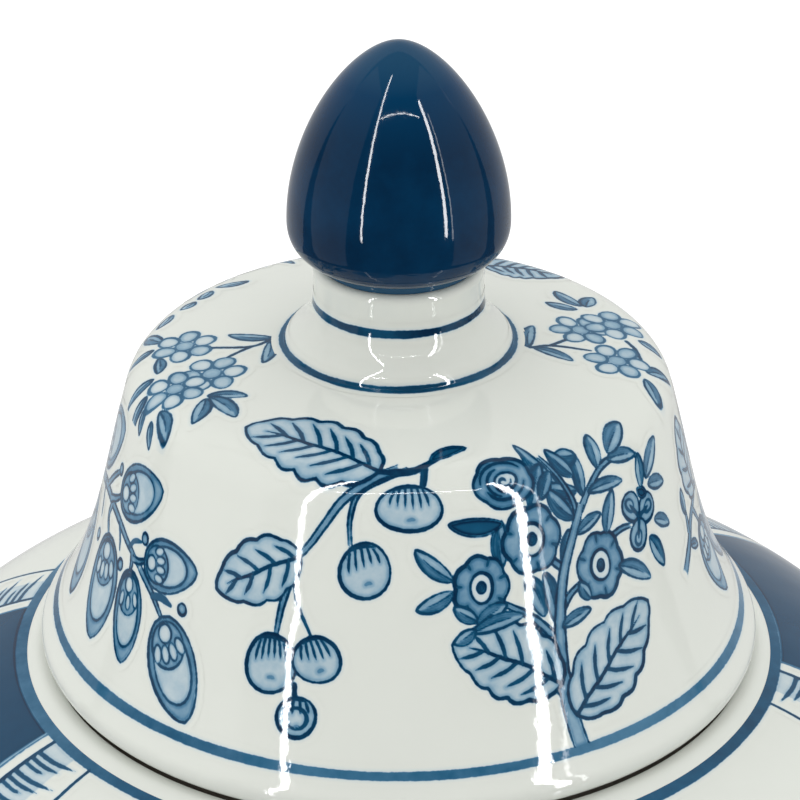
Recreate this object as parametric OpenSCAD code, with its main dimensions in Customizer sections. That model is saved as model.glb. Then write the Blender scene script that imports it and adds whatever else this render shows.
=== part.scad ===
// Covered ginger jar: a thrown body with a hidden collar, a bell-shaped lid that
// drops over the collar, and an acorn knob luted into the lid's stem.
// Millimetres, +Z up, origin on the axis at the underside of the foot.

/* [Jar body] */
// Height of the ledge that carries the lid
ledge_z = 319.7; // [310:0.1:325]
// Largest diameter of the body
body_d = 256; // [248:1:264]
// Radius of the shoulder's curve in section
shoulder_r = 72.4; // [70:0.1:75]
// Diameter across the foot
foot_d = 152; // [140:1:164]
// Thickness of the body's wall
wall = 6; // [5:0.5:7]
// Outer diameter of the ledge
ledge_d = 152.8; // [151:0.1:156]
// Outer diameter of the hidden collar
collar_d = 109; // [104:0.5:109]
// Height of the collar above the ledge
collar_h = 30; // [20:1:31]
// Thickness of the collar
collar_wall = 5.5; // [4:0.5:6]

/* [Lid] */
// Gap between the resting lid and the ledge
lid_gap = 0.3; // [0.3:0.1:0.6]
// Largest diameter of the lid, across its rolled lip
lip_d = 146.6; // [144:0.1:148]
// Radius of the rolled lip in section
lip_roll = 3.6; // [3.4:0.1:4]
// Height of the crown above the lip
crown_h = 68; // [66:0.5:70]
// Radius of the crown's shallow dome
crown_r = 282; // [260:1:300]
// Radius of the bend from crown to skirt, in section
bend_r = 9.85; // [9:0.05:10.5]
// Distance of the bend's centre from the axis
bend_at = 45; // [44:0.5:46]
// Thickness of the lid's wall
lid_wall = 5; // [4:0.5:5.5]
// Diameter of the stem under the knob
stem_d = 34; // [33:0.5:35]
// Diameter at which the stem's flare meets the crown
flare_d = 45.5; // [44:0.5:47]
// Height of the flare
flare_h = 9.7; // [9:0.1:10.5]
// Height of the straight part of the stem
stem_h = 7.4; // [6.5:0.1:8]

/* [Knob] */
// Largest diameter of the knob
knob_d = 44.1; // [42:0.1:46]
// Height of the knob above the stem
knob_h = 46.4; // [43:0.1:50]
// Diameter of the knob's tenon
tenon_d = 20; // [16:0.5:22]

/* [Part] */

/* [Hidden] */
$fn = 128;

// The body's outside, from the foot to the widest point
foot_r = foot_d / 2;
body_r = body_d / 2;
foot_h = 9;
foot_edge = 1.5;
foot_width = 7.5;
recess_h = 5;
floor_z = 12;
floor_fillet = 10;
belly_z = ledge_z - 70.6;
lower_handle = 90;
upper_handle = 105;
lower_angle = 18;

// The shoulder is one arc, and the ledge rolls over its inner end
shoulder_x = body_r - shoulder_r;
ledge_r = ledge_d / 2;
ledge_arc_end = asin((ledge_r - shoulder_x) / shoulder_r);
ledge_flat_r = ledge_r - 4;
collar_r = collar_d / 2;
collar_in = collar_r - collar_wall;
collar_top = ledge_z + collar_h;

// The lid, measured up from the plane its lip rests on
rest_z = ledge_z + lid_gap;
lip_x = lip_d / 2 - lip_roll;
lip_z = rest_z + lip_roll;
crown_z = rest_z + crown_h - crown_r;
bend_angle = asin(bend_at / (crown_r - bend_r));
bend_z = crown_z + (crown_r - bend_r) * cos(bend_angle);
skirt_angle = 74.7;
skirt_handle_top = 21.6;
skirt_handle_low = 17.8;
lip_join_angle = 51.5;
lip_inner_angle = 255;
flare_r = flare_d / 2;
stem_r = stem_d / 2;
flare_z = crown_z + sqrt(crown_r * crown_r - flare_r * flare_r);
stem_z = flare_z + flare_h;
stem_top = stem_z + stem_h;
stem_round = 1.5;
stem_waist = 0.2;
tenon_r = tenon_d / 2;
tenon_bed = 0.05;

// Points on an arc, with angles taken from straight up towards the outside
function arc(x, z, r, a0, a1, n) =
    [for (i = [0 : n]) let (a = a0 + (a1 - a0) * i / n) [x + r * sin(a), z + r * cos(a)]];

// Points on a cubic curve from a to d, leaving along a-b and arriving along c-d
function curve(a, b, c, d, n) =
    [for (i = [0 : n]) let (t = i / n, s = 1 - t)
        s * s * s * a + 3 * s * s * t * b + 3 * s * t * t * c + t * t * t * d];

// A list without its first point, for joining two runs that share an end
function rest(pts) = [for (i = [1 : len(pts) - 1]) pts[i]];

// The same points from last to first
function back(pts) = [for (i = [len(pts) - 1 : -1 : 0]) pts[i]];

// A run of points moved sideways by d, to the left of its direction of travel
function beside(pts, d) =
    [for (i = [0 : len(pts) - 1]) let (
        p = pts[max(i - 1, 0)],
        q = pts[min(i + 1, len(pts) - 1)],
        v = (q - p) / norm(q - p))
        pts[i] + d * [-v[1], v[0]]];

// The first points of a run
function first(pts, n) = [for (i = [0 : n - 1]) pts[i]];

lower_wall = curve(
    [foot_r - 0.5, foot_h],
    [foot_r - 0.5, foot_h] + lower_handle * [sin(lower_angle), cos(lower_angle)],
    [body_r, belly_z - upper_handle],
    [body_r, belly_z], 36);

// Inside of the lower wall, cut off where it meets the fillet of the floor
lower_inside = [for (p = beside(lower_wall, wall)) if (p[1] > floor_z + floor_fillet) p];

skirt = curve(
    [bend_at, bend_z] + bend_r * [sin(skirt_angle), cos(skirt_angle)],
    [bend_at, bend_z] + bend_r * [sin(skirt_angle), cos(skirt_angle)]
        + skirt_handle_top * [cos(skirt_angle), -sin(skirt_angle)],
    [lip_x, lip_z] + lip_roll * [sin(lip_join_angle), cos(lip_join_angle)]
        - skirt_handle_low * [cos(lip_join_angle), -sin(lip_join_angle)],
    [lip_x, lip_z] + lip_roll * [sin(lip_join_angle), cos(lip_join_angle)], 30);

// Section of the body: foot, wall, shoulder, ledge, collar, then down the inside
module jar_section() {
    floor_r = lower_inside[0][0] - floor_fillet;
    polygon(concat(
        [[0, recess_h], [foot_r - foot_width - 2, recess_h], [foot_r - foot_width, 0]],
        arc(foot_r - foot_edge, foot_edge, foot_edge, 180, 90, 4),
        lower_wall,
        rest(back(arc(shoulder_x, belly_z, shoulder_r, ledge_arc_end, 90, 32))),
        [[ledge_flat_r, ledge_z]],
        [[collar_r, ledge_z]],
        arc(collar_r - collar_wall / 2, collar_top - collar_wall / 2, collar_wall / 2, 90, -90, 12),
        arc(shoulder_x, belly_z, shoulder_r - wall,
            asin((collar_in - shoulder_x) / (shoulder_r - wall)), 90, 28),
        back(first(lower_inside, len(lower_inside) - 1)),
        rest(arc(floor_r, floor_z + floor_fillet, floor_fillet, 90, 180, 8)),
        [[0, floor_z]]
    ));
}

// The lid's outside, from the crown's edge at the flare round to the lip
lid_outside = concat(
    arc(0, crown_z, crown_r, asin(flare_r / crown_r), bend_angle, 6),
    rest(arc(bend_at, bend_z, bend_r, bend_angle, skirt_angle, 14)),
    rest(skirt)
);

// Stem and flare, from the knob's seat down to the crown
stem_outside = concat(
    arc(stem_r - stem_round, stem_top - stem_round, stem_round, 0, 90, 6),
    rest(curve([stem_r, stem_top - stem_round], [stem_r - stem_waist, stem_top - 3],
        [stem_r - stem_waist, stem_z + 2], [stem_r - 0.05, stem_z], 6)),
    rest(curve([stem_r - 0.05, stem_z], [stem_r + 0.3, stem_z - 6.6],
        [flare_r - 0.85, flare_z + 4.2], [flare_r, flare_z], 18))
);

module lid_section() {
    polygon(concat(
        [[tenon_r, stem_top]],
        stem_outside,
        rest(lid_outside),
        rest(arc(lip_x, lip_z, lip_roll, lip_join_angle, lip_inner_angle, 20)),
        back(first(beside(skirt, -lid_wall), 24)),
        rest(arc(bend_at, bend_z, bend_r - lid_wall, skirt_angle, bend_angle, 8)),
        rest(arc(0, crown_z, crown_r - lid_wall, bend_angle, asin(tenon_r / (crown_r - lid_wall)), 6))
    ));
}

// Section of the knob: collar, edge, acorn, and the tenon let into the stem
module knob_section() {
    tip_z = stem_top + knob_h;
    knob_r = knob_d / 2;
    widest_z = stem_top + 9.2;
    tenon_z = crown_z + sqrt((crown_r - lid_wall) * (crown_r - lid_wall) - tenon_r * tenon_r);
    polygon(concat(
        [[0, tenon_z], [tenon_r + tenon_bed, tenon_z], [tenon_r + tenon_bed, stem_top]],
        curve([stem_r - 1.5, stem_top], [stem_r - 1.3, stem_top + 0.8],
            [stem_r - 1.2, stem_top + 1.4], [stem_r - 0.6, stem_top + 2], 5),
        rest(curve([stem_r - 0.6, stem_top + 2], [stem_r + 3, stem_top + 2.6],
            [knob_r, stem_top + 5.2], [knob_r, widest_z], 14)),
        rest(curve([knob_r, widest_z], [knob_r, widest_z + 18.8],
            [knob_r * 0.41, tip_z - 0.5], [0, tip_z], 28))
    ));
}

// White body with its foot ring, ledge and collar, thrown as one piece
module jar_body() {
    color([0.86, 0.88, 0.87])
        rotate_extrude()
            jar_section();
}

// White bell-shaped lid with the stem that carries the knob
module lid_shell() {
    color([0.83, 0.86, 0.88])
        rotate_extrude()
            lid_section();
}

// Dark blue acorn knob
module finial() {
    color([0.04, 0.14, 0.30])
        rotate_extrude()
            knob_section();
}

jar_body();
lid_shell();
finial();
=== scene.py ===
"""Covered ginger jar: glazed body and lid with hand-painted cobalt decoration, and a dark blue knob.

Sizes in the profiles are millimetres, as in the CAD; MM turns them into Blender's metres.
Angles run round the axis in degrees from the front (-Y), positive towards +X.
"""
import math

import bpy
import numpy as np
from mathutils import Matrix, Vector


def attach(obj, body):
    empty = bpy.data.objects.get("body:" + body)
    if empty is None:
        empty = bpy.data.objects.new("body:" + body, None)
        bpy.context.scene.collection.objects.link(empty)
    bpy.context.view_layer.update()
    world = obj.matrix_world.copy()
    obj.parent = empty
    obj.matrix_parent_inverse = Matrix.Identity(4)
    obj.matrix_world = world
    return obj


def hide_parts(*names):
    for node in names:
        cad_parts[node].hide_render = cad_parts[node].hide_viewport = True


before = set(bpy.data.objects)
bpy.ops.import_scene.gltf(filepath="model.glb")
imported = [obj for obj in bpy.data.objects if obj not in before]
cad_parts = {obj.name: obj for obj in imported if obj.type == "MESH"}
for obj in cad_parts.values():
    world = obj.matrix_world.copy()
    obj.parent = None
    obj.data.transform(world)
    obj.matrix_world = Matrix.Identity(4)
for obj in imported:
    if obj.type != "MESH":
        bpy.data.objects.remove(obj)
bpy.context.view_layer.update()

MM = 0.001
ON_AXIS = 1e-6

# Overall sizes, the same as the CAD's
LEDGE_Z = 319.7
REST_Z = 320.0
BODY_R = 127.8
BELLY_DOWN = 70.6
SHOULDER_R = 72.2
FOOT_R = 76.0
FOOT_RING = 7.5
BASE_Z = 5.0
WALL = 6.0
LEDGE_R = 76.4
SEAT_R = 69.3
SEAT_END = 71.8
SEAT_DEEP = 3.0
COLLAR_R = 54.5
COLLAR_WALL = 5.5
COLLAR_H = 30.0
LIP_ROLL = 3.6
LIP_X = 73.2 - LIP_ROLL
CROWN_R = 282.0
CROWN_H = 68.0
BEND_R = 9.85
BEND_AT = 45.0
SKIRT_ANGLE = 74.7
LIP_ANGLE = 51.5
LID_WALL = 5.0
STEM_R = 17.0
FLARE_R = 22.75
FLARE_H = 9.7
STEM_H = 7.4
TENON_R = 10.0
KNOB_R = 22.0
KNOB_H = 46.3

# Painting: how far past a line its distance is worked out, the soft edge of a wash, the weight of every
# line, how near a line or how dark a wash has to be for the skin to cover it, and the skins' heights
REACH = 1.6
WASH_EDGE = 0.35
LINE_WEIGHT = 0.86
LINE_KEPT = 1.35
WASH_KEPT = 0.003
WALL_MM_PER_DEG = 64 * math.pi / 180
BODY_MM_PER_DEG = 100 * math.pi / 180
PAINT_LIFT = 0.03
RING_LIFT = 0.05
RING_MARGIN = 1.5


# ---- brush marks

class Drawing:
    """Brush marks on a flat sheet in millimetres: lines with a width, and washes in an outline."""

    def __init__(self):
        self.marks = []

    def line(self, points, width, ink=1.0, start=0.5, end=0.5, smooth=True):
        """A brush line. start and end are the width at its ends as a share of its width."""
        path = spline(points) if smooth else np.array(points, float)
        t = np.linspace(0, 1, len(path))
        share = np.minimum(1, start + (1 - start) * t / 0.2)
        share = np.minimum(share, end + (1 - end) * (1 - t) / 0.3)
        self.marks.append(("line", path, 0.5 * width * share * LINE_WEIGHT, ink))

    def loop(self, outline, width, ink=1.0):
        """A closed brush line, thicker on one side as a loaded brush leaves it."""
        path = np.vstack([outline, outline[:1]])
        t = np.linspace(0, 2 * np.pi, len(path))
        half = 0.5 * width * (1 + 0.28 * np.sin(t + outline[0, 0]))
        self.marks.append(("line", path, half * LINE_WEIGHT, ink))

    def wash(self, outline, tone, edge=0.0):
        """A pale fill over whatever lay there. edge is the tone that pools just inside the outline."""
        self.marks.append(("wash", np.array(outline, float), tone, edge))

    def cell(self, outline, tone, edge, width, ink=1.0):
        """A wash with a brush line round it."""
        self.wash(outline, tone, edge)
        self.loop(outline, width, ink)

    def move(self, place, weight=1.0):
        """The drawing with its points passed through place, and its lines made heavier by weight."""
        moved = Drawing()
        for kind, points, a, b in self.marks:
            moved.marks.append((kind, place(points), a * weight if kind == "line" else a, b))
        return moved

    def add(self, other):
        self.marks += other.marks


def spline(points, per_span=8):
    """A smooth run through the points (Catmull-Rom)."""
    p = np.array(points, float)
    if len(p) < 3:
        return p[0] + np.linspace(0, 1, per_span + 1)[:, None] * (p[-1] - p[0])
    q = np.vstack([2 * p[0] - p[1], p, 2 * p[-1] - p[-2]])
    t = np.linspace(0, 1, per_span, endpoint=False)[:, None]
    out = []
    for a, b, c, d in zip(q[:-3], q[1:-2], q[2:-1], q[3:]):
        out.append(0.5 * (2 * b + (c - a) * t + (2 * a - 5 * b + 4 * c - d) * t ** 2
                          + (3 * b - a - 3 * c + d) * t ** 3))
    return np.vstack(out + [p[-1:]])


def axis_frame(base, tip, bend, t):
    """Points along a bent midline from base to tip, and the unit normals beside it."""
    base, tip = np.array(base, float), np.array(tip, float)
    along = tip - base
    side = np.array([-along[1], along[0]])
    mid = base + t[:, None] * along + (bend * 4 * t * (1 - t))[:, None] * side
    run = along + (bend * 4 * (1 - 2 * t))[:, None] * side
    normal = np.stack([-run[:, 1], run[:, 0]], 1)
    return mid, normal / np.linalg.norm(normal, axis=1)[:, None]


def leaf_outline(base, tip, width, bend, fullness=0.8, lobes=0, depth=0.0, power=0.62, count=49):
    """A leaf's edge, with rounded lobes along it if asked for."""
    t = np.linspace(0, 1, count)
    mid, normal = axis_frame(base, tip, bend, t)
    half = 0.5 * width * np.sin(np.pi * t ** fullness) ** power
    left, right = (1 + depth * (np.abs(np.sin(lobes * np.pi * t + shift)) - 0.6) for shift in (0, 1.3))
    near_side = mid + (half * left)[:, None] * normal
    far_side = mid - (half * right)[:, None] * normal
    return np.vstack([near_side, far_side[-2:0:-1]])


def big_leaf(d, base, tip, width, bend=0.0, veins=5, tone=0.2):
    """A broad leaf: lobed outline, pale wash, and a midrib with strong side strokes."""
    outline = leaf_outline(base, tip, width, bend, 0.86, veins, 0.12)
    d.cell(outline, tone, 0.14, 0.8)
    t = np.linspace(0.0, 0.86, 12)
    mid, normal = axis_frame(base, tip, bend, t)
    mid = mid + (0.012 * width * np.sin(14 * t))[:, None] * normal
    d.line(mid, 0.95, smooth=False, start=1, end=0.3)
    for i in range(veins):
        for side in (1, -1):
            here = 0.1 + (0.62 * i + 0.1 * side) / (veins - 1)
            there = here + 0.17
            edge = 0.5 * width * np.sin(np.pi * there ** 0.86) ** 0.62
            root, _ = axis_frame(base, tip, bend, np.array([here]))
            out, across = axis_frame(base, tip, bend, np.array([there]))
            reach = 0.72 + 0.08 * math.sin(5 * i + side)
            end = out[0] + side * reach * edge * across[0]
            knee = 0.5 * (root[0] + end) - 0.1 * (out[0] - root[0])
            d.line([root[0], knee, end], 1.0, 0.9, 0.9, 0.25)


def small_leaf(d, base, tip, width, bend=0.05, tone=0.4):
    """A narrow leaf: an outline, one half filled with a full brush and the other left pale."""
    outline = leaf_outline(base, tip, width, bend, 0.95)
    d.wash(outline, 0.6 * tone, 0.12)
    count = (len(outline) + 2) // 2
    mid, _ = axis_frame(base, tip, bend, np.linspace(1, 0, count))
    d.wash(np.vstack([outline[:count], mid]), 1.35 * tone, 0.08)
    d.loop(outline, 0.6, 0.92)
    rib, _ = axis_frame(base, tip, bend, np.linspace(0, 0.75, 6))
    d.line(rib, 0.45, 0.9, smooth=False, start=1, end=0.3)


def small_leaves(d, place, leaves, bend=0.05, tone=0.4):
    """Small leaves, each given as its base, its tip and its width."""
    for x0, y0, x1, y1, width in leaves:
        small_leaf(d, place(x0, y0), place(x1, y1), width, bend, tone)


def dark_leaf(d, base, tip, width, bend=0.08):
    """A leaf filled solid."""
    d.cell(leaf_outline(base, tip, width, bend, 0.95), 0.85, 0.1, 0.5)


def oval(centre, rx, ry, a):
    """Places on an oval, at angles a in radians."""
    return np.stack([centre[0] + rx * np.cos(a), centre[1] + ry * np.sin(a)], -1)


def turned(centre, turn, x, y):
    """The place x and y away from a centre, turned about it in degrees."""
    c, s = np.cos(np.radians(turn)), np.sin(np.radians(turn))
    return np.stack([centre[0] + c * x - s * y, centre[1] + s * x + c * y], -1)


def ring_points(centre, rx, ry=None, turn=0.0, wobble=0.0, count=28):
    """An oval outline, turned in degrees, with a slight hand wobble."""
    ry = rx if ry is None else ry
    a = np.linspace(0, 2 * np.pi, count, endpoint=False)
    k = 1 + wobble * np.sin(2 * a + centre[0]) + 0.6 * wobble * np.sin(3 * a + centre[1])
    return turned(centre, turn, rx * k * np.cos(a), ry * k * np.sin(a))


def berry(d, centre, rx, ry, turn=0.0, hatches=5):
    """A round fruit: a pale cell, strokes fanning down from its stalk, and a dab near the bottom."""
    d.cell(ring_points(centre, rx, ry, turn, 0.035), 0.2, 0.16, 0.8)

    def spot(u, v):
        return turned(centre, turn, rx * u, ry * v)

    for i in range(hatches):
        u = -0.58 + 1.16 * i / (hatches - 1)
        top = 0.9 * math.sqrt(1 - u * u)
        low = 0.1 + 0.12 * math.sin(7 * i + centre[0])
        d.line([spot(0.8 * u, top), spot(0.98 * u, 0.5 * (top + low)), spot(1.06 * u, low)],
               0.7, 0.92, 0.9, 0.25)
    cap = [spot(u, 0.93 * math.sqrt(1 - u * u)) for u in np.linspace(-0.55, 0.55, 7)]
    d.line(cap, 0.9, 0.95, 0.2, 0.2)
    d.line([spot(-0.1, -0.5), spot(0.06, -0.46), spot(0.18, -0.5)], 0.9, 0.5, 0.3, 0.3)


def pod(d, base, tip, width, cells=4):
    """A seed pod split open: a dark shell round a pale seat, with a cap of cells at the stalk."""
    outline = leaf_outline(base, tip, width, 0.0, 0.78, power=0.6, count=36)
    d.cell(outline, 0.42, 0.06, 0.7, 0.95)
    base, tip = np.array(base, float), np.array(tip, float)
    length = np.linalg.norm(tip - base)
    along = (tip - base) / length
    side = np.array([-along[1], along[0]])
    turn = np.degrees(np.arctan2(along[1], along[0]))

    def spot(u, v):
        return base + length * u * along + 0.5 * width * v * side

    seat = ring_points(spot(0.45, 0), 0.38 * length, 0.38 * width, turn)
    d.cell(seat, 0.2, 0.05, 0.55, 0.92)
    head = ring_points(spot(0.27, 0), 0.22 * length, 0.36 * width, turn)
    d.cell(head, 0.38, 0.05, 0.6, 0.95)
    for i in range(cells):
        v = -0.52 + 1.04 * i / (cells - 1)
        seed = ring_points(spot(0.35 - 0.12 * v * v, v), 0.085 * length, 0.085 * width, turn + 24 * v)
        d.cell(seed, 0.16, 0.03, 0.45, 0.95)
    bead = ring_points(spot(0.16, 0), 0.09 * length, 0.15 * width, turn)
    d.cell(bead, 0.12, 0.04, 0.5, 0.95)


def daisy(d, centre, rx, ry, petals=7):
    """A round flower: scalloped rim, dark wash with a few folds, and a pale ringed eye."""
    a = np.linspace(0, 2 * np.pi, 84, endpoint=False)
    k = 0.93 + 0.11 * np.abs(np.sin(0.5 * petals * a + centre[0]))
    d.cell(oval(centre, rx * k, ry * k, a), 0.44, 0.14, 0.9)
    for i in range(petals):
        b = 2 * math.pi * (i + 0.5) / petals + centre[1]
        out = np.array([rx * math.cos(b), ry * math.sin(b)])
        d.line([centre + 0.94 * out, centre + 0.7 * out], 0.7, 0.85, 0.9, 0.3)
    eye = ring_points(centre, 0.42 * rx, 0.48 * ry, 0, 0.03)
    d.cell(eye, 0.04, 0.06, 0.75)
    pip = ring_points(centre, 0.15 * rx, 0.17 * ry)
    d.cell(pip, 0.8, 0, 0.7)


def blossom(d, centre, r, petals=6, turn=0.0, tone=0.1):
    """A small flower of round petals about a round eye."""
    for i in range(petals):
        a = np.radians(turn + 360 * i / petals)
        middle = oval(centre, 0.66 * r, 0.66 * r, a)
        petal = ring_points(middle, 0.35 * r, 0.31 * r, np.degrees(a), 0.05, 18)
        d.cell(petal, tone + 0.1 * (i % 2), 0.08, 0.7, 0.72)
    eye = ring_points(centre, 0.29 * r, count=16)
    d.cell(eye, tone + 0.2, 0, 0.5, 0.7)


def peony(d, centre, rx, ry):
    """A full flower, its cupped petals curling round a pale heart."""
    a = np.linspace(0, 2 * np.pi, 72, endpoint=False)
    k = 0.94 + 0.1 * np.abs(np.sin(2.5 * a + centre[0]))
    d.cell(oval(centre, rx * k, ry * k, a), 0.46, 0.12, 0.9)
    for share, start in ((0.8, 0.6), (0.68, 3.6), (0.56, 1.9)):
        b = start + np.linspace(0, 2.5, 9)
        d.line(oval(centre, share * rx, share * ry, b), 0.85, 0.98)
    heart = ring_points((centre[0] + 0.06 * rx, centre[1]), 0.38 * rx, 0.36 * ry, 0, 0.05)
    d.cell(heart, 0.1, 0.06, 0.75)
    b = np.linspace(0.4, 6.4, 14)
    curl = 0.06 + 0.03 * b
    d.line(oval(centre, rx * curl, ry * curl, b), 0.8, 0.9)


def trefoil(d, centre, r, turn=0.0):
    """Three round lobes that meet at a dark heart."""
    for i in range(3):
        a = np.radians(turn + 120 * i)
        middle = oval(centre, 0.56 * r, 0.62 * r, a)
        lobe = ring_points(middle, 0.52 * r, 0.5 * r, np.degrees(a), 0.06, 24)
        d.cell(lobe, 0.3, 0.1, 0.75)
        inner = oval(centre, 0.66 * r, 0.72 * r, a)
        d.loop(ring_points(inner, 0.24 * r, 0.2 * r, np.degrees(a), 0.08, 16), 0.7, 0.85)
        d.line([centre, inner], 1.1, 0.9, 1, 0.4)


def stem(d, points, width):
    """A woody stem: two dark edges with a wash between."""
    path = spline(points)
    run = np.gradient(path, axis=0)
    normal = np.stack([-run[:, 1], run[:, 0]], 1) / np.linalg.norm(run, axis=1)[:, None]
    taper = np.linspace(1.0, 0.55, len(path))[:, None]
    left = path + 0.5 * width * taper * normal
    right = path - 0.5 * width * taper * normal
    d.wash(np.vstack([left, right[::-1]]), 0.36, 0.1)
    d.line(left, 0.65, smooth=False)
    d.line(right, 0.65, smooth=False)


def stems(d, runs):
    """Stems on the lid's wall, each given as its width and then its places."""
    for width, *run in runs:
        stem(d, [wall(*place) for place in run], width)


def dot(d, centre, r):
    """A berry too small for anything but its outline."""
    d.cell(ring_points(centre, r, count=14), 0.3, 0.15, 0.7)


def to_edge(points, outline):
    """Distance of each point to a closed outline, and whether it is inside."""
    a, b = outline, np.roll(outline, -1, axis=0)
    ab = b - a
    ap = points[:, None] - a[None]
    t = np.clip((ap * ab).sum(2) / np.maximum((ab * ab).sum(1), 1e-9), 0, 1)
    near = np.sqrt((((ap - t[..., None] * ab) ** 2).sum(2)).min(1))
    cross = (a[:, 1] > points[:, 1:2]) != (b[:, 1] > points[:, 1:2])
    rise = np.where(ab[:, 1] == 0, 1e-9, ab[:, 1])
    x = a[:, 0] + (points[:, 1:2] - a[:, 1]) * ab[:, 0] / rise
    return near, (cross & (points[:, :1] < x)).sum(1) % 2 == 1


def paint(drawing, x, y):
    """The marks laid down in order at each point: line is the distance past the edge of the nearest
    brush line, ink that line's strength, and wash the pale fill. A wash covers what was under it.
    """
    line = np.full(x.shape, REACH)
    ink = np.zeros(x.shape)
    wash = np.zeros(x.shape)
    for kind, points, first, second in drawing.marks:
        margin = REACH + first.max() if kind == "line" else 0
        lo, hi = points.min(0) - margin, points.max(0) + margin
        k = np.where((x > lo[0]) & (x < hi[0]) & (y > lo[1]) & (y < hi[1]))[0]
        if not len(k):
            continue
        p = np.stack([x[k], y[k]], 1)
        if kind == "wash":
            near, inside = to_edge(p, points)
            hidden = k[inside]
            line[hidden] = np.maximum(line[hidden], np.minimum(REACH, near[inside]))
            cover = inside * np.clip(near / WASH_EDGE, 0, 1)
            wash[k] = wash[k] * (1 - cover) + cover * (first + second * np.exp(-near / 0.8))
            continue
        best = np.full(len(k), REACH)
        for a, b, ha, hb in zip(points[:-1], points[1:], first[:-1], first[1:]):
            ab = b - a
            t = np.clip(((p - a) @ ab) / max(ab @ ab, 1e-9), 0, 1)
            away = np.hypot(p[:, 0] - a[0] - t * ab[0], p[:, 1] - a[1] - t * ab[1])
            best = np.minimum(best, away - ha - (hb - ha) * t)
        closer = best < line[k]
        ink[k[closer]] = second
        line[k[closer]] = best[closer]
    return line, ink, wash


# ---- decoration

def wall(deg, down):
    """A place on the lid's wall: degrees round from the front, and millimetres down from the flare."""
    return (deg * WALL_MM_PER_DEG, -down)


def crown(x, y):
    """A place on the crown: millimetres to the right of the axis, and behind it."""
    return (x, y)


def seed_pod_spray(d):
    """A branch of split seed pods, at the lid's left-hand side."""
    w = wall
    stems(d, ((1.9, (-92, 56), (-80, 53.5), (-70, 54.5), (-63, 57), (-57, 59.5)),
              (1.4, (-57, 59.5), (-52, 62.5), (-47.5, 66.5)),
              (1.5, (-74, 54), (-74.5, 57), (-72.5, 60)),
              (1.3, (-60.5, 58), (-60, 60), (-60, 62)),
              (1.3, (-60, 59), (-57.5, 58.5), (-55, 57)),
              (1.5, (-76, 54), (-72, 52), (-69.5, 50)),
              (1.5, (-80, 53), (-76, 49), (-73, 46.5))))
    for twig, width in (([w(-62, 57.5), w(-60.5, 55.5), w(-58, 54.5)], 1.3),
                        ([w(-68, 55.5), w(-66.5, 57.5), w(-65.5, 60)], 1.1),
                        ([w(-51.5, 63), w(-49, 62.3), w(-46.3, 62.7)], 1.9),
                        ([w(-83, 54), w(-81, 57), w(-79.5, 60)], 1.3)):
        d.line(twig, width, 0.8, 1, 0.5)
    pod(d, w(-70.5, 50), w(-54, 42), 11.5)
    pod(d, w(-56, 57.5), w(-41, 54), 10.5)
    pod(d, w(-72, 60), w(-66, 80), 13.4)
    pod(d, w(-60, 61.5), w(-55, 79), 9.6, 3)
    pod(d, w(-48, 65.8), w(-37, 83), 12)
    pod(d, w(-92, 60), w(-82, 80), 13)
    pod(d, w(-93, 50), w(-76, 39), 13)
    for spot in (w(-57, 53.4), w(-64, 62.4), w(-43.3, 62.3), w(-72.8, 46), w(-78.3, 63.5)):
        dot(d, spot, 1.15)


def cherry_sprig(d):
    """Fruit and a leaf hanging on the front of the wall."""
    w = wall
    stems(d, ((1.3, (2, 26), (-3, 28), (-8, 31), (-9.6, 36), (-9.4, 41.4)),
              (1.9, (0, 25.6), (-5, 28), (-11, 32.5), (-14.5, 37.5), (-17, 41.5), (-19.5, 45)),
              (1.4, (-20.6, 49), (-22, 55), (-22.7, 61))))
    d.line([w(-20, 48), w(-19, 54), w(-16, 60)], 1.0, 0.9, 1, 0.7)
    d.line([w(-18.3, 70), w(-18, 73)], 1.2, 1, 1, 0.8)
    d.line([w(5.4, 26), w(5.2, 28), w(4.8, 30)], 1.6, 0.9, 0.8, 1)
    berry(d, w(2.1, 33.9), 7.2, 4.5, 2, 6)
    berry(d, w(-6.4, 46.2), 5.6, 5.3, 12)
    berry(d, w(-23.1, 66.8), 5.4, 5.7, 2, 6)
    berry(d, w(-14.7, 64.6), 4.8, 4.6, 22)
    berry(d, w(-17.4, 76.2), 3.9, 3.8, 4, 4)
    d.loop(ring_points(w(-17.4, 76.4), 2.1, 2.0), 0.8, 0.9)
    big_leaf(d, w(-19, 44.5), w(-36, 55.3), 12.6, -0.02, 4)


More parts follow.
